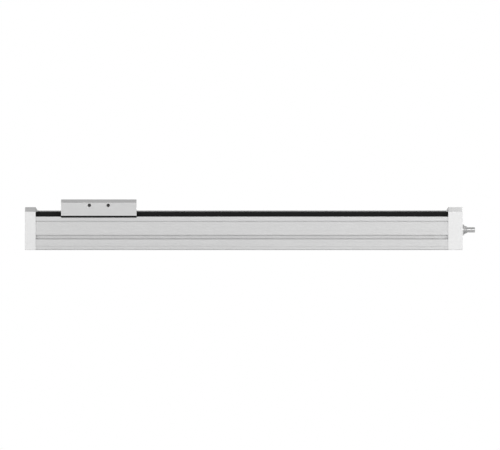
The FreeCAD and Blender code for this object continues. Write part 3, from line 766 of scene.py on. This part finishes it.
def dished_plug(finish):
    """Plug of the idle cap with a bevelled edge and a dish inside its rim."""
    low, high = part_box("idle_cap_plug")
    radius = (high.z - low.z) / 2.0
    depth = high.x - low.x
    inner = radius - PLUG_RIM
    mesh = lathe([
        (0.0, plain(0.0)),
        (0.0, plain(radius)),
        (depth - PLUG_EDGE, plain(radius)),
        (depth, plain(radius - PLUG_EDGE)),
        (depth, plain(inner)),
        (depth - PLUG_DISH, plain(inner - PLUG_EDGE)),
        (depth - PLUG_DISH, plain(0.0)),
    ])
    stand_on_screw_axis(mesh, high.x, -X_AXIS)
    piece = add_piece("dished_plug", mesh, finish, "base")
    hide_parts("idle_cap_plug")


# Tapped holes

def hole_thread(radius, depth):
    """A thread along X in a hole whose mouth is at the origin: one ridge wound as a helix."""
    pitch = PITCH_SHARE * radius
    half = THREAD_FILL * pitch
    outside = radius - WELD
    section = ((-half, outside), (0.0, outside - THREAD_HEIGHT), (half, outside))
    turns = (depth - 2.0 * THREAD_MOUTH - pitch) / pitch
    mesh = bmesh.new()
    rows = []
    for step in range(int(turns * HOLE_STEPS) + 1):
        angle = 2.0 * math.pi * step / HOLE_STEPS
        x = -THREAD_MOUTH - half - pitch * step / HOLE_STEPS
        rows.append([mesh.verts.new(around(x + along, reach, angle)) for along, reach in section])
    for low, high in zip(rows, rows[1:]):
        for side in range(len(section)):
            following = (side + 1) % len(section)
            mesh.faces.new((low[side], low[following], high[following], high[side]))
    mesh.faces.new(rows[0])
    mesh.faces.new(rows[-1])
    clean(mesh)
    return mesh


def hole_bottom(radius, depth):
    """The cone that the drill leaves at the bottom of the same hole."""
    outside = radius - WELD
    cone = [(WELD, 0.0), (WELD, outside), (DRILL_POINT, outside), (DRILL_FLOOR, 0.0)]
    return lathe([(rise - depth, plain(reach, HOLE_STEPS)) for rise, reach in cone])


def hole_places(mount):
    """Mouths of the holes of a bolt pattern."""
    dims = mount["dims"]
    middle = Vector(mount["pos_m"])
    normal = max(range(3), key=lambda number: abs(mount["axis"][number]))
    first, second = [axis for axis in range(3) if axis != normal]
    half_x = dims["spacing_x_mm"] / 2.0 * MM
    half_y = dims.get("spacing_y_mm", 0.0) / 2.0 * MM
    rises = (-half_y, half_y) if half_y else (0.0,)
    places = []
    for along in (-half_x, half_x):
        for rise in rises:
            place = middle.copy()
            place[first] += along
            place[second] += rise
            places.append(place)
    return places


def line_holes(mount, form, ending, finish):
    """One form in every hole of a bolt pattern, as a piece of the body that has the holes."""
    mesh = bmesh.new()
    for place in hole_places(mount):
        lining = form(mount["dims"]["hole_r_mm"] * MM, HOLE_DEPTHS[mount["name"]])
        stand(lining, place, Vector(mount["axis"]))
        append(mesh, lining)
    body = "carriage" if mount["name"].startswith("table") else "base"
    add_piece(mount["name"].replace("holes", ending), mesh, finish, body)


def tapped_holes(thread_finish, bottom_shade_finish):
    """Threads and drilled bottoms for every bolt pattern that the record names, the bottoms in a darker finish as
    painted shade in the holes.
    """
    for mount in frame["record"]["mounts"]:
        if mount["kind"] == "bolt_pattern":
            line_holes(mount, hole_thread, "threads", thread_finish)
            line_holes(mount, hole_bottom, "hole_bottoms", bottom_shade_finish)


# Ball screw with its thread

def groove_profile():
    """(offset along X, depth) of the round ball groove across one turn of the thread."""
    points = []
    for step in range(GROOVE_STEPS + 1):
        across = -1.0 + 2.0 * step / GROOVE_STEPS
        points.append((across * GROOVE_HALF_WIDTH, GROOVE_DEPTH * (1.0 - across * across)))
    points.append((LEAD - GROOVE_HALF_WIDTH, 0.0))
    return points


def thread_point(turn, offset, depth, radius, start, end):
    """A point of the thread: its depth fades out before the plain ends of the screw."""
    x = start + LEAD * turn + offset
    x_inside = min(max(x, start), end)
    fade = min(1.0, max(0.0, min(x - start, end - x) / FADE))
    return around(x_inside, radius - depth * fade, 2.0 * math.pi * turn)


def add_thread(mesh, radius, start, end):
    """A right-hand ball thread between two plain ends, swept along its helix."""
    profile = groove_profile()
    first = -TURN_STEPS
    last = math.ceil((end - start) / LEAD * TURN_STEPS) + TURN_STEPS
    rows = []
    for step in range(first, last + 1):
        row = []
        for offset, depth in profile:
            point = thread_point(step / TURN_STEPS, offset, depth, radius, start, end)
            row.append(mesh.verts.new(point))
        rows.append(row)
    for low, high in zip(rows, rows[1:]):
        for column in range(len(profile) - 1):
            mesh.faces.new((low[column], low[column + 1], high[column + 1], high[column]))


def idle_end(radius, start):
    """(x, radius) points of the idle end: journal with its circlip groove, and a plain stretch."""
    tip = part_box("ball_screw")[0].x
    clip_low, clip_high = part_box("idle_circlip")
    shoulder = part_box("idle_bearing_inner_ring")[1].x
    return [
        (tip, 0.0),
        (tip, JOURNAL_RADIUS),
        (clip_low.x, JOURNAL_RADIUS),
        (clip_low.x, CIRCLIP_GROOVE_RADIUS),
        (clip_high.x, CIRCLIP_GROOVE_RADIUS),
        (clip_high.x, JOURNAL_RADIUS),
        (shoulder, JOURNAL_RADIUS),
        (shoulder, radius),
        (start, radius),
    ]


def drive_end(radius, end):
    """(x, radius) points of the drive end: plain stretch, journal, collar seat and shaft."""
    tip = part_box("ball_screw")[1].x
    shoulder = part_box("drive_bearing_inner_rings")[0].x
    nut_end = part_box("lock_nut")[1].x
    collar_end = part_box("shaft_collar")[1].x
    return [
        (end, radius),
        (shoulder, radius),
        (shoulder, JOURNAL_RADIUS),
        (nut_end, JOURNAL_RADIUS),
        (nut_end, COLLAR_SEAT_RADIUS),
        (collar_end, COLLAR_SEAT_RADIUS),
        (collar_end, SHAFT_RADIUS),
        (tip - SHAFT_CHAMFER, SHAFT_RADIUS),
        (tip, SHAFT_RADIUS - SHAFT_CHAMFER),
        (tip, 0.0),
    ]


def threaded_screw(finish):
    """The whole screw in one mesh, in place of its plain CAD solid."""
    low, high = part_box("ball_screw")
    radius = (high.y - low.y) / 2.0
    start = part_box("idle_bearing_inner_ring")[1].x + RUNOUT
    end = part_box("drive_bearing_inner_rings")[0].x - RUNOUT
    mesh = bmesh.new()
    add_thread(mesh, radius, start, end)
    for outline in (idle_end(radius, start), drive_end(radius, end)):
        add_lathe(mesh, [(x, plain(reach, TURN_STEPS)) for x, reach in outline])
    clean(mesh)
    stand_on_screw_axis(mesh)
    piece = add_piece("threaded_screw", mesh, finish, "screw")
    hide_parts("ball_screw")


# Stage

def add_floor():
    """Plain pale floor under the object."""
    bpy.ops.mesh.primitive_plane_add(size=FLOOR_SIZE, location=(0.0, 0.0, 0.0))
    floor = bpy.context.object
    floor.name = "floor"
    paint, shader = new_material("floor", metallic=0.0)
    shader.inputs["Base Color"].default_value = (*grey(FLOOR_GREY), 1.0)
    shader.inputs["Roughness"].default_value = FLOOR_ROUGHNESS
    floor.data.materials.append(paint)


def add_softbox(name, place, target, size, power):
    """A soft light of a width and height, aimed at a point."""
    lamp = bpy.data.lights.new(name, "AREA")
    lamp.shape = "RECTANGLE"
    lamp.size, lamp.size_y = size
    lamp.energy = power
    light = bpy.data.objects.new(name, lamp)
    light.location = place
    aim = Vector(target) - Vector(place)
    light.rotation_euler = aim.to_track_quat("-Z", "Y").to_euler()
    bpy.context.collection.objects.link(light)


def light_stage():
    """Two wide lights in front, a small one each for the shaft and the drive cap, one behind."""
    add_softbox("idle_front", place=(-1.6, -2.05, 0.2), target=AXIS_MIDDLE, size=(1.2, 0.35), power=9.0)
    add_softbox("drive_front", place=(1.6, -2.05, 0.2), target=AXIS_MIDDLE, size=(1.2, 0.35), power=9.8)
    add_softbox("shaft_strip", place=(0.43, -2.0, 0.55), target=SHAFT_PLACE, size=(0.6, 0.25), power=1.2)
    add_softbox("drive_top", place=(0.72, -0.05, 1.0), target=DRIVE_CAP_TOP, size=(0.3, 0.3), power=2.0)
    add_softbox("rear_fill", place=(-0.4, 2.2, 1.0), target=AXIS_MIDDLE, size=(1.6, 1.6), power=9.0)


def add_world():
    """White all round up to a low height in the sky, dimmer overhead."""
    world = bpy.data.worlds.new("studio")
    bpy.context.scene.world = world
    world.use_nodes = True
    tree = world.node_tree
    light = tree.nodes["Background"]
    light.inputs["Color"].default_value = (*grey(1.0), 1.0)
    place = tree.nodes.new("ShaderNodeTexCoord")
    split = tree.nodes.new("ShaderNodeSeparateXYZ")
    fall = tree.nodes.new("ShaderNodeMapRange")
    fall.inputs["From Min"].default_value = SKY_FALL_START
    fall.inputs["From Max"].default_value = SKY_FALL_END
    fall.inputs["To Min"].default_value = 1.0
    fall.inputs["To Max"].default_value = SKY_OVERHEAD
    tree.links.new(place.outputs["Generated"], split.inputs["Vector"])
    tree.links.new(split.outputs["Z"], fall.inputs["Value"])
    tree.links.new(fall.outputs["Result"], light.inputs["Strength"])


def add_camera():
    """Straight side view with parallel edges, with the profile where the photograph has it."""
    low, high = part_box("base_profile")
    metres_per_px = (high.x - low.x) / (PROFILE_RIGHT_PX - PROFILE_LEFT_PX)
    camera = bpy.data.cameras.new("camera")
    camera.type = "ORTHO"
    camera.ortho_scale = PHOTO_WIDTH * metres_per_px
    view = bpy.data.objects.new("camera", camera)
    x = low.x + (PHOTO_WIDTH / 2.0 - PROFILE_LEFT_PX) * metres_per_px
    z = low.z + (UNDERSIDE_PX - PHOTO_HEIGHT / 2.0) * metres_per_px
    view.location = (x, -CAMERA_DISTANCE, z)
    view.rotation_euler = (LEVEL_TURN, 0.0, 0.0)
    bpy.context.collection.objects.link(view)
    bpy.context.scene.camera = view


finishes = dress_nodes()
extruded_profile(finishes["extruded"])
threaded_screw(finishes["steel"])
notched_lock_nut(finishes["steel"])
dished_plug(finishes["white"])
for node, body, axis in SCREW_NODES:
    screw_set(node, body, Vector(axis), finishes["oxide"])
# Painted shade: the drilled bottoms of the holes get the darker collar steel instead of the metal they are cut in
tapped_holes(finishes["milled"], finishes["collar"])
add_floor()
add_world()
light_stage()
add_camera()
bpy.context.scene.view_settings.view_transform = "Standard"
